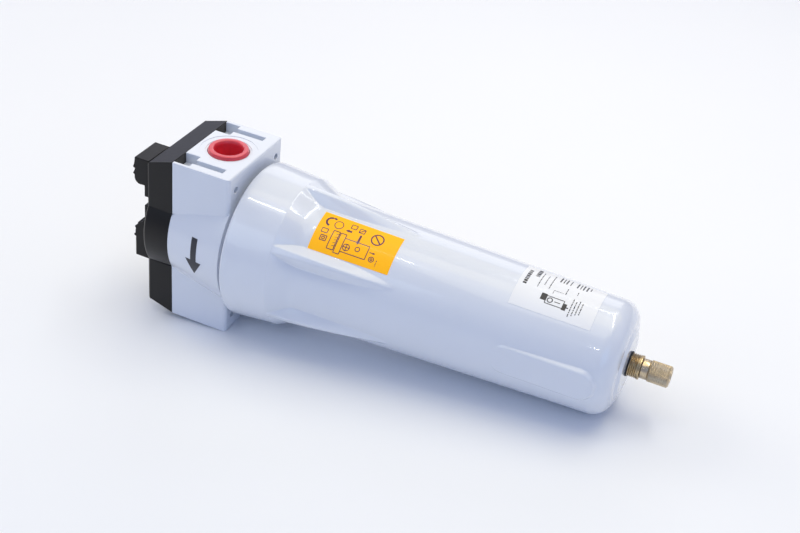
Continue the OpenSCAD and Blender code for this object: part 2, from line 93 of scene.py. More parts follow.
def vary_color(tree, shader, fac, color, darker):
    """Moves the base colour between color and a darker one along a noise."""
    ramp = tree.nodes.new("ShaderNodeValToRGB")
    ramp.color_ramp.elements[0].position = 0.3
    ramp.color_ramp.elements[1].position = 0.7
    ramp.color_ramp.elements[0].color = (*darker, 1.0)
    ramp.color_ramp.elements[1].color = (*color, 1.0)
    tree.links.new(fac, ramp.inputs["Fac"])
    tree.links.new(ramp.outputs["Color"], shader.inputs["Base Color"])


def vary_roughness(tree, shader, fac, low, high):
    remap = tree.nodes.new("ShaderNodeMapRange")
    remap.inputs["To Min"].default_value = low
    remap.inputs["To Max"].default_value = high
    tree.links.new(fac, remap.inputs["Value"])
    tree.links.new(remap.outputs["Result"], shader.inputs["Roughness"])


def add_bump(tree, shader, height, strength, distance):
    bump = tree.nodes.new("ShaderNodeBump")
    bump.inputs["Strength"].default_value = strength
    bump.inputs["Distance"].default_value = distance * MM
    tree.links.new(height, bump.inputs["Height"])
    tree.links.new(bump.outputs["Normal"], shader.inputs["Normal"])


def shade(color, factor):
    return tuple(c * factor for c in color)


def lacquer():
    """Powder-coated white casting under a gloss coat, with a faint orange-peel."""
    color = (0.712, 0.750, 0.826)
    mat, tree, shader = new_material("white_lacquer", color, 0.22)
    shader.inputs["Coat Weight"].default_value = 0.7
    shader.inputs["Coat Roughness"].default_value = 0.04
    vary_color(tree, shader, noise(tree, 22), color, shade(color, 0.975))
    vary_roughness(tree, shader, noise(tree, 160, 2), 0.18, 0.27)
    add_bump(tree, shader, noise(tree, 420, 1), 0.10, 0.05)
    return mat


def moulded(name, color, roughness, grain=900, depth=0.06, strength=0.35):
    """Moulded plastic with an eroded grain and slightly uneven gloss."""
    mat, tree, shader = new_material(name, color, roughness)
    shader.inputs["Specular IOR Level"].default_value = 0.2
    shader.inputs["Sheen Weight"].default_value = 0.22
    shader.inputs["Sheen Tint"].default_value = (1.0, 0.93, 0.84, 1.0)
    vary_color(tree, shader, noise(tree, 60), color, shade(color, 0.88))
    vary_roughness(tree, shader, noise(tree, 260, 2), roughness - 0.05, roughness + 0.07)
    add_bump(tree, shader, noise(tree, grain, 2), strength, depth)
    return mat


def turned_metal(name, color, roughness, bands=(2600, 30, 30), darker=0.72):
    """Turned metal: fine rings round the filter's axis, patches of tarnish."""
    mat, tree, shader = new_material(name, color, roughness, 1.0)
    vary_color(tree, shader, noise(tree, 190, 4), color, shade(color, darker))
    rings = noise(tree, 1.0, 2, bands)
    vary_roughness(tree, shader, rings, roughness - 0.08, roughness + 0.12)
    add_bump(tree, shader, rings, 0.25, 0.02)
    return mat


def printed_film(name, color, roughness=0.3, coat=0.35, painted_glow=(0.0, 0.0, 0.0)):
    """Label film: flat ink under a thin clear layer, wavy like a hand-laid sticker. Some films get painted
    light: an emission that brightens them, though they are no lamp.
    """
    mat, tree, shader = new_material(name, color, roughness)
    shader.inputs["Specular IOR Level"].default_value = 0.25
    # painted light: the film glows with this colour, though it is no lamp
    shader.inputs["Emission Color"].default_value = (*painted_glow, 1.0)
    shader.inputs["Emission Strength"].default_value = 1.0
    shader.inputs["Coat Weight"].default_value = coat
    shader.inputs["Coat Roughness"].default_value = 0.12
    vary_color(tree, shader, noise(tree, 45), color, shade(color, 0.96))
    add_bump(tree, shader, noise(tree, 70, 1), 0.12, 0.15)
    return mat


def red_plastic():
    """Soft polyethylene cap, a little translucent."""
    color = (0.72, 0.030, 0.052)
    mat, tree, shader = new_material("red_polyethylene", color, 0.38)
    shader.inputs["Subsurface Weight"].default_value = 0.15
    shader.inputs["Subsurface Radius"].default_value = (0.004, 0.0012, 0.0010)
    shader.inputs["Subsurface Scale"].default_value = 1.0
    shader.inputs["Coat Weight"].default_value = 1.0
    shader.inputs["Coat Roughness"].default_value = 0.3
    vary_color(tree, shader, noise(tree, 120), color, shade(color, 0.9))
    vary_roughness(tree, shader, noise(tree, 300, 2), 0.32, 0.45)
    add_bump(tree, shader, noise(tree, 700, 2), 0.15, 0.04)
    return mat


def fibre(name, color, scale):
    """Matted fibres, for the medium and the drainage sock."""
    mat, tree, shader = new_material(name, color, 0.9)
    shader.inputs["Sheen Weight"].default_value = 0.3
    vary_color(tree, shader, noise(tree, scale, 5), color, shade(color, 0.7))
    add_bump(tree, shader, noise(tree, scale * 1.7, 4), 0.6, 0.4)
    return mat


MATERIALS = {
    "lacquer": lacquer(),
    "black_plastic": moulded("black_moulding", (0.0025, 0.0026, 0.0034), 0.36),
    "grey_plastic": moulded("grey_moulding", (0.09, 0.10, 0.12), 0.5),
    "float_plastic": moulded("float_foam", (0.78, 0.74, 0.60), 0.7, 500, 0.2, 0.6),
    "red_plastic": red_plastic(),
    "brass": turned_metal("turned_brass", (0.66, 0.54, 0.37), 0.27),
    # a darker, more saturated brass than the knob's, given to the whole drain fitting
    "dull_brass": turned_metal("tarnished_brass", (0.56, 0.43, 0.25), 0.3),
    "steel": turned_metal("bright_steel", (0.62, 0.63, 0.65), 0.3, (900, 900, 200), 0.85),
    "rubber": moulded("black_rubber", (0.018, 0.018, 0.019), 0.62, 1500, 0.05, 0.5),
    "print": printed_film("dark_ink", (0.035, 0.036, 0.045), 0.35, 0.2),
    "violet_ink": printed_film("violet_ink", (0.13, 0.045, 0.10), 0.35, 0.2),
    # the orange film's last colour is painted light: an emission that makes it brighter and more saturated
    "label_orange": printed_film("orange_film", (1.0, 0.50, 0.004), 0.45, 0.1, (0.17, 0.055, 0.0)),
    "label_white": printed_film("white_film", (0.86, 0.87, 0.89), 0.4, 0.3),
    "medium": fibre("filter_fibre", (0.85, 0.84, 0.76), 400),
    "foam": fibre("sock_foam", (0.74, 0.66, 0.22), 300),
}


# ---------------------------------------------------------------- mesh helpers

def finish_piece(obj, body, material, replaced=None):
    """Gives a new piece its material and its body, and hides the CAD node that it stands for."""
    obj.data.materials.clear()
    obj.data.materials.append(MATERIALS[material])
    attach(obj, body)
    if replaced:
        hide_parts(replaced)
    return obj


def make_object(name, points, faces, smooth_angle=32):
    """Mesh object from points in millimetres; edges sharper than the angle keep a hard edge."""
    mesh = bpy.data.meshes.new(name)
    mesh.from_pydata((np.asarray(points) * MM).tolist(), [], faces)
    work = bmesh.new()
    work.from_mesh(mesh)
    bmesh.ops.remove_doubles(work, verts=work.verts, dist=1e-7)
    bmesh.ops.recalc_face_normals(work, faces=work.faces)
    work.to_mesh(mesh)
    work.free()
    mesh.shade_smooth()
    mesh.set_sharp_from_angle(angle=math.radians(smooth_angle))
    obj = bpy.data.objects.new(name, mesh)
    bpy.context.scene.collection.objects.link(obj)
    return obj


def loop_faces(rows, columns):
    """Quads of a closed grid: both the rows and the columns wrap round."""
    faces = []
    for i in range(rows):
        j = (i + 1) % rows
        for k in range(columns):
            m = (k + 1) % columns
            faces.append((i * columns + k, i * columns + m, j * columns + m, j * columns + k))
    return faces


def around_x(x, radius, angle):
    """Points from their place along the axis, radius and angle; -Y is angle 0 and +Z is 90 degrees."""
    return np.stack([x, -radius * np.cos(angle), radius * np.sin(angle)], axis=-1)


def lathe(name, outline, columns=128, shape=None):
    """Turns a closed outline of (x, radius) about the filter's axis. shape() may change the radius."""
    outline = np.asarray(outline, float)
    angle = np.linspace(0, 2 * np.pi, columns, endpoint=False)
    x, a = np.meshgrid(outline[:, 0], angle, indexing="ij")
    radius = np.repeat(outline[:, 1:2], columns, axis=1)
    if shape:
        radius = shape(x, radius, a)
    points = around_x(x, radius, a).reshape(-1, 3)
    return make_object(name, points, loop_faces(len(outline), columns))


def rounded(corners, steps):
    """Closed outline through (x, radius, rounding) corners, each rounded with an arc of that size."""
    out = []
    count = len(corners)
    for i, (x, r, size) in enumerate(corners):
        here = np.array([x, r], float)
        if size <= 0:
            out.append(here)
            continue
        before = np.array(corners[i - 1][:2], float) - here
        after = np.array(corners[(i + 1) % count][:2], float) - here
        u, v = before / np.linalg.norm(before), after / np.linalg.norm(after)
        half = math.acos(float(np.clip(u @ v, -1, 1))) / 2
        reach = min(size / math.tan(half), 0.49 * np.linalg.norm(before), 0.49 * np.linalg.norm(after))
        radius = reach * math.tan(half)
        centre = here + (u + v) / np.linalg.norm(u + v) * radius / math.sin(half)
        start, end = here + u * reach - centre, here + v * reach - centre
        sweep = math.atan2(start[0] * end[1] - start[1] * end[0], float(start @ end))
        for k in range(steps + 1):
            t = sweep * k / steps
            turn = np.array([[math.cos(t), -math.sin(t)], [math.sin(t), math.cos(t)]])
            out.append(centre + turn @ start)
    return np.array(out)


HARD_EDGE = math.radians(28)
FLAT_ANGLE = math.radians(0.7)


def softened(node, width, segments=2, shortest=2.6):
    """A copy of a CAD node that stands for it, its long hard edges rounded; short ones belong to arcs."""
    work = bmesh.new()
    work.from_mesh(frame["nodes"][node].data)
    bmesh.ops.remove_doubles(work, verts=work.verts, dist=2e-6)
    bmesh.ops.dissolve_limit(work, angle_limit=FLAT_ANGLE, verts=work.verts, edges=work.edges)
    weight = work.edges.layers.float.new("bevel_weight_edge")
    for edge in work.edges:
        hard = len(edge.link_faces) == 2 and edge.calc_face_angle() > HARD_EDGE
        long = edge.calc_length() > shortest * MM
        edge[weight] = 1.0 if hard and long else 0.0
        edge.smooth = not hard or long
    mesh = bpy.data.meshes.new(node + "_soft")
    work.to_mesh(mesh)
    work.free()
    if "custom_normal" in mesh.attributes:
        mesh.attributes.remove(mesh.attributes["custom_normal"])
    mesh.polygons.foreach_set("use_smooth", [True] * len(mesh.polygons))
    obj = bpy.data.objects.new(mesh.name, mesh)
    bpy.context.scene.collection.objects.link(obj)
    bevel = obj.modifiers.new("edges", "BEVEL")
    bevel.width = width * MM
    bevel.segments = segments
    bevel.limit_method = "WEIGHT"
    bevel.harden_normals = True
    bevel.use_clamp_overlap = False
    return finish_piece(obj, BODY_OF[node], SLOT_OF[node], node)


# ---------------------------------------------------------------- bowl

bowl_low, bowl_high = node_box("bowl")
RIM_R = bowl_high.y
BOWL_END = bowl_high.x
NECK_X = bowl_low.x
GAP_X, RIM_X, LIP_ROUND = 4.2, 9.0, 2.4
SKIRT_X, SKIRT_R = 39.5, 55.2
WALL_FOOT_X, WALL_FOOT_R = 54.0, 47.8
WAIST_X, WAIST_R = 66.0, 46.9
TIP_X, TIP_R = 262.0, 41.0
RIDGE_COUNT, RIDGE_TIP_X, RIDGE_TURN = 6, 131.0, math.radians(1.6)
RIDGE_FOOT, RIDGE_TOP, RIDGE_TIP_FOOT, RIDGE_ROUND = 7.4, 2.2, 0.6, 0.6
RIDGE_ARCH, RIDGE_SINK, RIDGE_TOP_FADE = 1.6, 0.4, 1.4
END_FACE_X, CORNER_R = BOWL_END - 2, 14.0
BOSS_FOOT_R, BOSS_R = 25.6, 21.4
PAD_X, PAD_LEN, PAD_H, PAD_SLOPE = 238.0, 76.4, 25.0, 2.0
PAD_ROOT_Y, PAD_FACE_Y, PAD_ROUND = 39.0, 42.4, 0.9
THREAD_R, BORE_R, BOTTOM_R, BOTTOM_X, BOTTOM_ROUND = 44.92, 40.0, 37.2, 280.0, 10.0
DRAIN_HOLE_R, HOLE_EDGE = 8.3, 0.4
BOWL_COLUMNS = 640
# widths over which neighbouring surfaces of the casting run into each other
SKIRT_EDGE_BLEND, FLUTE_FOOT_BLEND, PAD_BLEND = 0.3, 2.2, 0.2
RIDGE_ROOT_BLEND, RIDGE_TIP_BLEND = 0.8, 0.25


def smooth_max(a, b, width):
    """The larger of two heights, with a rounded change from one to the other."""
    share = np.clip(0.5 + 0.5 * (a - b) / width, 0, 1)
    return b * (1 - share) + a * share + width * share * (1 - share)


def body_radius(x):
    return TIP_R + (WAIST_R - TIP_R) * (TIP_X - x) / (TIP_X - WAIST_X)


def skirt_radius(x):
    return RIM_R + (SKIRT_R - RIM_R) * (x - RIM_X) / (SKIRT_X - RIM_X)


def flute_radius(x):
    """Skirt, sloping end wall of a flute, and the body's taper, blended."""
    wall = SKIRT_R + (WALL_FOOT_R - SKIRT_R) * (x - SKIRT_X) / (WALL_FOOT_X - SKIRT_X)
    top = -smooth_max(-skirt_radius(x), -wall, SKIRT_EDGE_BLEND)
    return smooth_max(top, body_radius(x), FLUTE_FOOT_BLEND)


def ridge_radius(x, angle):
    """Height of the nearest grip ridge: straight flanks, a narrow rounded top, an arching crest."""
    pitch = 2 * np.pi / RIDGE_COUNT
    off = (angle - RIDGE_TURN - np.pi / 2 + pitch / 2) % pitch - pitch / 2
    share = np.clip((x - SKIRT_X) / (RIDGE_TIP_X - SKIRT_X), 0, 1.05)
    crest = SKIRT_R - (SKIRT_R - body_radius(RIDGE_TIP_X) + RIDGE_SINK) * share ** RIDGE_ARCH
    top = RIDGE_TOP * np.clip(1 - RIDGE_TOP_FADE * share, 0, 1)
    foot = RIDGE_TIP_FOOT + RIDGE_FOOT * np.clip(1 - share ** 3, 0, 1)
    flank = np.maximum(crest - body_radius(x), 0.3) / (foot - top)
    past = np.maximum(np.abs(crest * np.sin(off)) - top, 0)
    fall = np.sqrt(past ** 2 + RIDGE_ROUND ** 2) - RIDGE_ROUND
    under_skirt = 3 * np.clip(SKIRT_X - x, 0, 3)
    return crest - flank * fall - under_skirt


def pad_radius(x, angle, radius):
    """Distance from the axis to the wrench pads: obrounds with a flat face and sloping, rounded edges."""
    reach = (PAD_LEN - PAD_H) / 2
    steepness = (PAD_FACE_Y - PAD_ROOT_Y) / PAD_SLOPE
    out = radius
    for _ in range(6):
        past_end = np.clip(np.abs(x - PAD_X) - reach, 0, None)
        outside = np.hypot(past_end, out * np.sin(angle)) - (PAD_H / 2 - PAD_SLOPE)
        height = PAD_FACE_Y - steepness * smooth_max(outside, 0, PAD_ROUND)
        out = height / np.maximum(np.abs(np.cos(angle)), 0.5)
    return out


def bowl_surface(x, radius, angle):
    """Outer radius of the bowl at a place along it and an angle; radius is that of the plain body there."""
    blend = np.interp(x, (SKIRT_X, RIDGE_TIP_X), (RIDGE_ROOT_BLEND, RIDGE_TIP_BLEND))
    ridged = smooth_max(radius, ridge_radius(x, angle), blend)
    out = np.where(x < RIDGE_TIP_X + 4, ridged, radius)
    near_pad = (np.abs(x - PAD_X) < PAD_LEN / 2) & (np.abs(np.sin(angle)) < 0.5)
    return np.where(near_pad, smooth_max(out, pad_radius(x, angle, out), PAD_BLEND), out)


def outer_places():
    """Places along the bowl's outside: close together on edges, ridges and pad ends."""
    corner_x = END_FACE_X - CORNER_R
    return np.concatenate([
        np.linspace(RIM_X + 1.0, SKIRT_X - 1.2, 12), np.linspace(SKIRT_X - 0.9, SKIRT_X + 0.9, 13),
        np.linspace(SKIRT_X + 1.3, 62, 40), np.arange(63, 140, 1.4), np.arange(140, 198, 3.0),
        np.arange(198, 207, 0.7), np.arange(207, 262, 1.5), np.arange(262, corner_x, 0.7)])


def bowl_stations():
    """(x, radius, outer?) along the bowl's wall: rim, skirt, flutes, body, end, and back along the inside."""
    corner_x = END_FACE_X - CORNER_R
    corner_r = float(body_radius(corner_x)) - CORNER_R
    front = rounded([(NECK_X, THREAD_R, 0), (GAP_X, THREAD_R, 0.5), (GAP_X, RIM_R, LIP_ROUND),
                     (RIM_X, RIM_R, 0)], 10)[1:]
    outer = [(x, float(flute_radius(np.float64(x)))) for x in outer_places()]
    arc = np.linspace(0, np.pi / 2, 26)
    outer += [(corner_x + CORNER_R * math.sin(t), corner_r + CORNER_R * math.cos(t)) for t in arc]
    end = rounded([(END_FACE_X, corner_r - 0.05, 0), (END_FACE_X, BOSS_FOOT_R, 4), (BOWL_END, BOSS_R, 6),
                   (BOWL_END, DRAIN_HOLE_R + HOLE_EDGE, 0), (BOWL_END - HOLE_EDGE, DRAIN_HOLE_R, 0),
                   (BOTTOM_X, DRAIN_HOLE_R, 0)], 6)
    inside = rounded([(BOTTOM_X, DRAIN_HOLE_R, 0), (BOTTOM_X, BOTTOM_R, BOTTOM_ROUND), (NECK_X, BORE_R, 0.5),
                      (NECK_X, THREAD_R, 0.8), (GAP_X, THREAD_R, 0)], 6)[1:-1]
    groups = [(front, False), (outer, True), (end, False), (inside, False)]
    return [(p[0], p[1], is_outer) for points, is_outer in groups for p in points]


def build_bowl():
    stations = bowl_stations()
    is_outer = np.array([s[2] for s in stations])[:, None]

    def shape(x, radius, angle):
        return np.where(is_outer, bowl_surface(x, radius, angle), radius)

    bowl = lathe("bowl_casting", [s[:2] for s in stations], BOWL_COLUMNS, shape)
    return finish_piece(bowl, "bowl", "lacquer", "bowl")


# ---------------------------------------------------------------- labels

FILM_LOW, FILM_HIGH, INK_LOW, INK_HIGH = 0.03, 0.16, 0.14, 0.20


class Sheet:
    """A thin sticker on the bowl. u runs along the filter's axis and v down round it, in millimetres."""

    def __init__(self, node):
        low, high = node_box(node)
        self.node, self.x0, self.length = node, low.x, high.x - low.x
        corner = frame["nodes"][node].data.vertices
        angles = [math.atan2(v.co.z, -v.co.y) for v in corner]
        self.top, self.width_angle = max(angles), max(angles) - min(angles)
        self.radius = float(body_radius(self.x0 + self.length / 2))
        self.height = self.width_angle * self.radius

    def place(self, u, v, lift):
        x = np.asarray(self.x0 + np.asarray(u, float))
        angle = self.top - np.asarray(v, float) / self.radius
        return around_x(x, bowl_surface(x, flute_radius(x), angle) + lift, angle)

    def film(self, material):
        columns, rows = 48, 36
        u, v = np.meshgrid(np.linspace(0, self.length, columns), np.linspace(0, self.height, rows))
        points = np.concatenate([self.place(u, v, lift).reshape(-1, 3) for lift in (FILM_HIGH, FILM_LOW)])
        half = rows * columns
        faces = []
        for i in range(rows - 1):
            for k in range(columns - 1):
                start = i * columns + k
                quad = (start, start + 1, start + columns + 1, start + columns)
                faces.append(quad)
                faces.append(tuple(q + half for q in reversed(quad)))
        border = list(range(columns)) + [i * columns + columns - 1 for i in range(1, rows)]
        border += [(rows - 1) * columns + k for k in range(columns - 2, -1, -1)]
        border += [i * columns for i in range(rows - 2, 0, -1)]
        for a, b in zip(border, border[1:] + border[:1]):
            faces.append((a, b, b + half, a + half))
        film = make_object(self.node + "_film", points, faces)
        return finish_piece(film, BODY_OF[self.node], material, self.node)

    def ink(self, name, shapes, material):
        """Raised print made of small convex patches, each a list of (u, v)."""
        points, faces = [], []
        for patch in shapes:
            uv = np.array(patch)
            start, count = len(points), len(patch)
            points.extend(self.place(uv[:, 0], uv[:, 1], INK_HIGH))
            points.extend(self.place(uv[:, 0], uv[:, 1], INK_LOW))
            faces.append(tuple(range(start, start + count)))
            faces.append(tuple(range(start + 2 * count - 1, start + count - 1, -1)))
            for k in range(count):
                m = (k + 1) % count
                faces.append((start + k, start + m, start + count + m, start + count + k))
        ink = make_object(name, points, faces)
        return finish_piece(ink, BODY_OF[self.node], material)


def line(p, q, width, step=1.6):
    """A straight stroke, cut into short patches so that it follows the curved film."""
    p, q = np.array(p, float), np.array(q, float)
    length = np.linalg.norm(q - p)
    side = np.array([p[1] - q[1], q[0] - p[0]]) / length * width / 2
    pieces = max(1, math.ceil(length / step))
    at = [p + (q - p) * k / pieces for k in range(pieces + 1)]
    return [[a + side, b + side, b - side, a - side] for a, b in zip(at, at[1:])]


def path(points, width, closed=False):
    points = list(points) + ([points[0]] if closed else [])
    return [patch for p, q in zip(points, points[1:]) for patch in line(p, q, width)]


def box_line(u0, v0, u1, v1, width):
    return path([(u0, v0), (u1, v0), (u1, v1), (u0, v1)], width, closed=True)


def bar(u0, v0, u1, v1):
    return line(((u0 + u1) / 2, v0), ((u0 + u1) / 2, v1), abs(u1 - u0))


def circle(u, v, radius, width, start=0, end=360, steps=28):
    angles = [math.radians(start + (end - start) * k / steps) for k in range(steps + 1)]
    return path([(u + radius * math.cos(a), v + radius * math.sin(a)) for a in angles], width)


def arrow(p, q, width, head):
    """A stroke with a triangular head at q."""
    p, q = np.array(p, float), np.array(q, float)
    along = (q - p) / np.linalg.norm(q - p)
    side = np.array([-along[1], along[0]])
    neck = q - along * head
    return line(p, neck, width) + [[q, neck + side * head * 0.55, neck - side * head * 0.55]]


def dashes(u, v0, v1, width, rhythm=(1.8, 0.9, 2.4, 1.2)):
    """A row of short blocks down the label, in place of a line of text."""
    out, v, k = [], v0, 0
    while v < v1 - 0.3:
        end = min(v + rhythm[k % len(rhythm)], v1)
        out += line((u, v), (u, end), width)
        v, k = end + 0.5, k + 1
    return out


HAIR, FINE, THIN, BOLD, THICK = 0.3, 0.35, 0.56, 0.95, 1.45
SHORT_ROW = (1.0, 0.6)


def instruction_shapes():
    """Plain pictograms: turn, a filter in outline with its flow, a drop, and a crossed ring."""
    # turn, and the part it is turned from
    s = circle(7.6, 6.8, 3.3, THICK, 95, 275) + line((8.2, 3.2), (10.4, 3.6), THICK)
    s += circle(13.8, 7.4, 3.1, THIN)
    # two small boxes, one with a ring
    s += box_line(4.2, 13.2, 8.6, 16.4, THIN)
    s += box_line(5.4, 18.4, 9.8, 22.2, THIN) + circle(7.6, 20.3, 1.0, THIN)
    # the filter: cover with ribs, head, bowl with its element
    s += box_line(12.6, 12.6, 17.4, 26.4, THIN) + box_line(18.2, 12.8, 22.4, 27.8, THIN)
    s += [p for k in range(5) for p in line((15.4, 15 + 2.2 * k), (17.0, 14.4 + 2.2 * k), FINE)]
    s += box_line(22.4, 15.6, 41, 25.6, THIN) + circle(33.6, 20.4, 1.6, THIN)
    s += circle(25.6, 21.6, 2.4, THIN)
    s += line((23.4, 21.6), (27.8, 21.6), THIN) + line((25.6, 19.4), (25.6, 23.8), THIN)
    # flow in and out, with two boxes beside it
    s += arrow((24.6, 9.4), (20.0, 9.4), THICK, 2.2) + arrow((31.8, 9.6), (31.8, 17.4), THICK, 2.6)
    s += box_line(22.4, 3.2, 26.4, 6.6, THIN)
    s += box_line(29.0, 4.4, 33.0, 7.8, THIN) + line((29, 7.8), (33, 4.4), THIN)
    # crossed ring, then the drain with a drop
    s += circle(43.6, 8.6, 4.3, BOLD) + line((40.6, 5.6), (46.6, 11.6), BOLD)
    s += arrow((42.4, 19.6), (46.6, 19.6), THIN, 1.6)
    s += circle(45.4, 24, 1.8, THIN) + circle(45.4, 24, 0.7, THIN)
    return s + dashes(49.4, 23.5, 28, THIN, SHORT_ROW)


RATING_SHEET_H = 39.0


def rating_shapes(height):
    """Rows of blocks where a maker would print text, and a small picture of a filter lying on its side."""
    # two heavy rows, then three light ones
    s = dashes(4.3, 6, 22, 2.5, (1.5, 0.7, 1.1, 1.9)) + dashes(9.9, 1.6, 11.6, 2.7, (1.8, 1.0, 1.3))
    s += dashes(13.2, 4, 21, THIN) + dashes(17.0, 6, 17.5, THIN, (0.9, 1.6)) + dashes(20.8, 2.5, 19.5, 0.6)
    # two blocks of bars along the upper edge
    for u, wide in ((25.2, 0.9), (27.4, 0.6), (29.4, 0.9), (32.2, 0.6),
                    (37.0, 0.9), (39.2, 0.6), (41.2, 0.9), (43.6, 1.0)):
        s += line((u, 1.0), (u, 8.8), wide)
    # loose rows and a bracket over the picture
    s += dashes(46.0, 2.4, 6.8, 0.9, (1.2, 0.8))
    s += dashes(32.6, 13.5, 19.8, THIN) + dashes(39.8, 13.4, 17, THIN)
    s += path([(24.6, 22.4), (24.6, 19.2), (31, 19.2)], HAIR)
    # the filter: dark head, bowl with a ring and a rod, dark end with its drain
    s += bar(18.2, 24.2, 22.0, 29.4) + box_line(22.0, 25.2, 34.2, 31.0, THIN) + circle(24.8, 28, 1.7, 0.7)
    s += bar(33.8, 27.0, 36.6, 32.0) + line((36.6, 29.5), (38.0, 29.5), 0.8)
    s += line((28, 28.1), (32, 28.1), THIN)
    for k, u in enumerate((39.4, 41.6, 43.8, 46.0)):
        s += dashes(u, 21.0 + 1.4 * (k % 2), 35.2 - 1.2 * k, 0.62)
    return [[(p[0], p[1] * height / RATING_SHEET_H) for p in patch] for patch in s]


def build_labels():
    orange = Sheet("instruction_label")
    orange.film("label_orange")
    orange.ink("instruction_print", instruction_shapes(), "violet_ink")
    white = Sheet("rating_label")
    white.film("label_white")
    white.ink("rating_print", rating_shapes(white.height), "print")


# ---------------------------------------------------------------- drain and caps

def knurl(x0, x1, radius, pitch=0.98, depth=0.36, lead=0.62, sharpness=1.6):
    """Diamond knurl between x0 and x1: two families of crossing grooves."""
    count = round(2 * math.pi * radius / pitch)

    def shape(x, r, angle):
        turn = angle * count / (2 * np.pi)
        rise = (x - x0) / pitch * lead
        first = np.abs((turn + rise) % 1 - 0.5) * 2
        second = np.abs((turn - rise) % 1 - 0.5) * 2
        cut = depth * np.maximum(first, second) ** sharpness
        inside = (x > x0 + 0.2) & (x < x1 - 0.2) & (r > radius - 0.05)
        return np.where(inside, r - cut, r)

    return shape


def thread(x0, x1, radius, pitch=1.337, depth=0.6):
    """Right-hand V thread between x0 and x1 that runs out at both ends."""

    def shape(x, r, angle):
        phase = np.abs((x / pitch - angle / (2 * np.pi)) % 1 - 0.5) * 2
        fade = np.clip((x - x0) / pitch, 0, 1) * np.clip((x1 - x) / pitch, 0, 1)
        inside = (x > x0) & (x < x1) & (r > radius - 0.05)
        return np.where(inside, r - depth * phase * fade, r)

    return shape


def run(x0, x1, r, step):
    """Points along a straight stretch at an even step, for a surface that is shaped afterwards."""
    return [(x, r) for x in np.arange(x0, x1, step)] + [(x1, r)]


FITTING_THREAD_R, COLLAR_LEN, FITTING_BORE_R, VALVE_SEAT_R = 8.25, 1.2, 3.2, 1.3
KNOB_NECK_R, KNOB_NECK_LEN, KNOB_SOCKET_R = 6.9, 5.2, 3.4
SPINDLE_HOLE_R, OUTLET_R, OUTLET_LEN = 2.58, 4.0, 3.5


def build_drain_fitting():
    low, high = node_box("drain_fitting")
    outline = run(low.x, high.x - COLLAR_LEN - 0.1, FITTING_THREAD_R, 0.16)
    outline += rounded([(high.x - COLLAR_LEN, high.y, 0.25), (high.x, high.y, 0.35),
                        (high.x, FITTING_BORE_R, 0.15), (low.x + 3, FITTING_BORE_R, 0),
                        (low.x + 3, VALVE_SEAT_R, 0), (low.x, VALVE_SEAT_R, 0)], 3).tolist()
    threaded = thread(low.x, high.x - COLLAR_LEN - 0.2, FITTING_THREAD_R)
    fitting = lathe("drain_fitting_turned", outline, 96, threaded)
    return finish_piece(fitting, "bowl", "dull_brass", "drain_fitting")


def build_drain_knob():
    low, high = node_box("drain_knob")
    radius, knurl_x, outlet_x = high.y, low.x + KNOB_NECK_LEN, high.x - OUTLET_LEN
    outline = rounded([(low.x, KNOB_SOCKET_R, 0), (low.x, KNOB_NECK_R, 0.35),
                       (knurl_x, KNOB_NECK_R, 0.15)], 4).tolist()
    outline += [(knurl_x + 0.02, radius - 0.45)] + run(knurl_x + 0.35, high.x - 0.75, radius, 0.15)
    outline += rounded([(high.x, radius - 0.75, 0.3), (high.x, OUTLET_R, 0.35), (outlet_x, OUTLET_R, 0),
                        (outlet_x, 3.5, 0), (high.x - 5.9, 3.5, 0), (high.x - 5.9, SPINDLE_HOLE_R, 0),
                        (low.x + 2.7, SPINDLE_HOLE_R, 0), (low.x + 2.7, KNOB_SOCKET_R, 0)], 3).tolist()
    knob = lathe("drain_knob_turned", outline, 328, knurl(knurl_x + 0.3, high.x - 0.7, radius))
    return finish_piece(knob, "drain_knob", "brass", "drain_knob")


def build_drain_washer():
    low, high = node_box("drain_washer")
    outline = rounded([(low.x, DRAIN_HOLE_R, 0.05), (low.x, high.y, 0.2), (high.x, high.y, 0.2),
                       (high.x, DRAIN_HOLE_R, 0.05)], 4)
    washer = lathe("drain_washer_ring", outline, 96)
    return finish_piece(washer, "bowl", "rubber", "drain_washer")


CAP_FLOOR = 1.6


def build_port_plug():
    """Push-in cap, turned about the port's own axis: a cup with a rounded rim."""
    low, high = node_box("port_plug")
    r = (high.x - low.x) / 2
    top, bottom = high.z, low.z
    outline = rounded([(bottom, 0.01, 0), (bottom, r - 1.3, 1.2), (top - 2.1, r - 0.05, 0.5),
                       (top - 1.5, r - 0.5, 0.4), (top, r - 0.7, 0.8), (top, r - 4.1, 0.9),
                       (top - 2.2, r - 4.8, 0.8), (bottom + CAP_FLOOR, r - 5.2, 1.4),
                       (bottom + CAP_FLOOR, 0.01, 0)], 6)
    plug = lathe("port_plug_cap", outline, 128)
    centre = (low + high) / 2
    place = Matrix.Translation((centre.x * MM, centre.y * MM, 0))
    plug.data.transform(place @ Matrix.Rotation(-math.pi / 2, 4, "Y"))
    return finish_piece(plug, "port_plug", "red_plastic", "port_plug")


# ---------------------------------------------------------------- stage

FLOOR_SIZE = 8.0
FLOOR_COLOR, FLOOR_SHADE = (0.86, 0.875, 0.90), (0.85, 0.866, 0.895)


def rest_plane():
    """The object lies on the head's lower front edge and the bowl's lower far end: a point, and the slope."""
    head_low, head_high = node_box("filter_head")
    x = np.linspace(TIP_X - 40, END_FACE_X, 200)
    corner_x = END_FACE_X - CORNER_R
    corner_r = body_radius(corner_x) - CORNER_R
    corner = corner_r + np.sqrt(np.maximum(CORNER_R ** 2 - (x - corner_x) ** 2, 0))
    radius = np.where(x < corner_x, body_radius(x), corner)
    slope = np.min((-radius - head_low.z) / (x - head_high.x))
    return Vector((head_high.x, 0, head_low.z)) * MM, math.atan(slope)


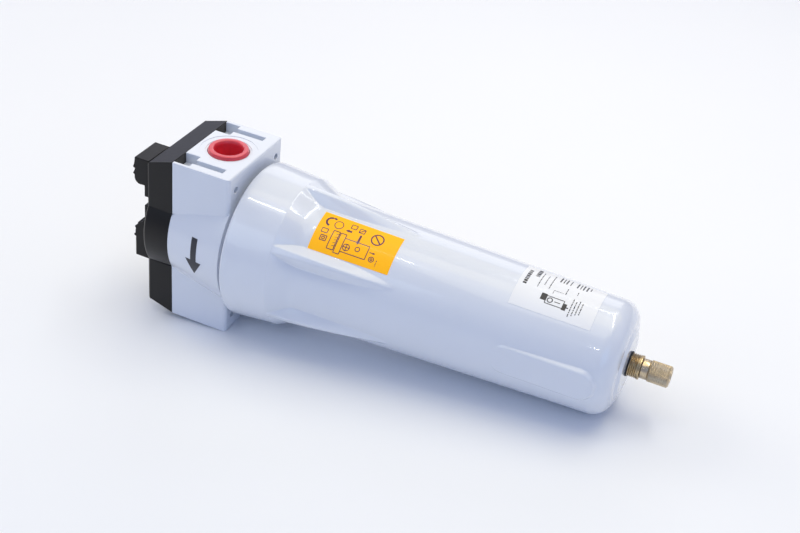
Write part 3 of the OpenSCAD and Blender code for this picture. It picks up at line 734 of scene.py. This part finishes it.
def build_floor():
    point, slope = rest_plane()
    bpy.ops.mesh.primitive_plane_add(size=FLOOR_SIZE)
    floor = bpy.context.object
    floor.name = "floor"
    floor.data.transform(Matrix.Translation(point) @ Matrix.Rotation(-slope, 4, "Y"))
    mat, tree, shader = new_material("pale_floor", FLOOR_COLOR, 0.55)
    vary_color(tree, shader, noise(tree, 3), FLOOR_COLOR, FLOOR_SHADE)
    # the underside is clear, so that the floor doesn't hide the object from below
    clear = tree.nodes.new("ShaderNodeBsdfTransparent")
    side = tree.nodes.new("ShaderNodeNewGeometry")
    mix = tree.nodes.new("ShaderNodeMixShader")
    tree.links.new(side.outputs["Backfacing"], mix.inputs["Fac"])
    tree.links.new(shader.outputs["BSDF"], mix.inputs[1])
    tree.links.new(clear.outputs["BSDF"], mix.inputs[2])
    tree.links.new(mix.outputs["Shader"], tree.nodes["Material Output"].inputs["Surface"])
    floor.data.materials.append(mat)


WORLD_COLOR = (0.324, 0.364, 0.540)
AIM = Vector((0.12, 0.0, 0.0))
# name: place, then width and height, in metres; then watts of red, green and blue
SOFTBOXES = {
    "overhead": ((0.25, 0.55, 1.5), (1.8, 1.4), (5.9, 4.8, 1.2)),
    "ceiling": ((0.15, -0.05, 1.6), (1.2, 1.2), (5.6, 5.1, 3.6)),
    "back": ((-0.3, 1.5, 0.8), (1.4, 0.8), (3.8, 3.7, 3.5)),
    "left": ((-1.4, 0.2, 0.9), (1.0, 1.0), (9.0, 8.5, 7.0)),
    "right": ((1.5, 0.4, 0.9), (1.0, 1.0), (1.0, 0.9, 0.8)),
    "front_left": ((-0.6, -1.2, 0.8), (0.8, 0.8), (1.6, 1.9, 2.1)),
    "front_right": ((1.0, -1.0, 0.7), (0.8, 0.8), (0.5, 1.0, 1.7)),
    "tube": ((-0.265, -0.18, 1.30), (0.22, 0.018), (0.5, 0.5, 0.5)),
    "strip": ((0.41, 0.36, 1.24), (0.76, 0.11), (2.7, 2.7, 2.7)),
    "cross_strip": ((0.24, 0.80, 1.24), (0.62, 0.06), (1.0, 1.0, 1.0)),
    "spark": ((0.184, -0.921, 0.826), (0.012, 0.012), (0.07, 0.07, 0.07)),
}
STRIP_TURNS = {"tube": math.radians(-28), "strip": math.radians(119), "cross_strip": math.radians(32)}


def area_light(name, place, size, power):
    data = bpy.data.lights.new(name, "AREA")
    data.shape = "RECTANGLE"
    data.size, data.size_y = size
    data.energy = max(power)
    data.color = [channel / max(power) for channel in power]
    light = bpy.data.objects.new(name, data)
    light.location = place
    light.rotation_euler = (AIM - Vector(place)).to_track_quat("-Z", "Y").to_euler()
    bpy.context.scene.collection.objects.link(light)
    return light


def build_lights():
    world = bpy.data.worlds.new("studio")
    world.use_nodes = True
    world.node_tree.nodes["Background"].inputs["Color"].default_value = (*WORLD_COLOR, 1)
    bpy.context.scene.world = world
    for name, (place, size, power) in SOFTBOXES.items():
        area_light(name, place, size, power)
    for name, turn in STRIP_TURNS.items():
        bpy.data.objects[name].rotation_euler = (0, 0, turn)


CAMERA_PLACE = (0.3822, -0.7090, 0.5213)
CAMERA_FORWARD = (-0.2917, 0.7787, -0.5554)
CAMERA_UP = (-0.3048, 0.4747, 0.8257)
LENS, SENSOR = 58.5, 36.0


def build_camera():
    data = bpy.data.cameras.new("camera")
    data.lens, data.sensor_width = LENS, SENSOR
    data.clip_start = 0.01
    camera = bpy.data.objects.new("camera", data)
    forward = Vector(CAMERA_FORWARD).normalized()
    right = forward.cross(Vector(CAMERA_UP)).normalized()
    up = right.cross(forward)
    turn = Matrix((right, up, -forward)).transposed()
    camera.matrix_world = Matrix.Translation(CAMERA_PLACE) @ turn.to_4x4()
    bpy.context.scene.collection.objects.link(camera)
    bpy.context.scene.camera = camera


def paint_cad_nodes():
    """The CAD nodes that stay as they are get their slot's material."""
    for name, obj in frame["nodes"].items():
        obj.data.materials.clear()
        obj.data.materials.append(MATERIALS[SLOT_OF[name]])


build_camera()
paint_cad_nodes()
build_bowl()
build_labels()
softened("filter_head", 0.5, 3)
softened("top_cover", 0.6, 3)
softened("cover_screws", 0.2, shortest=1.5)
softened("indicator_cap", 0.25)
build_port_plug()
build_drain_fitting()
build_drain_knob()
build_drain_washer()
build_floor()
build_lights()
bpy.context.scene.view_settings.view_transform = "Standard"
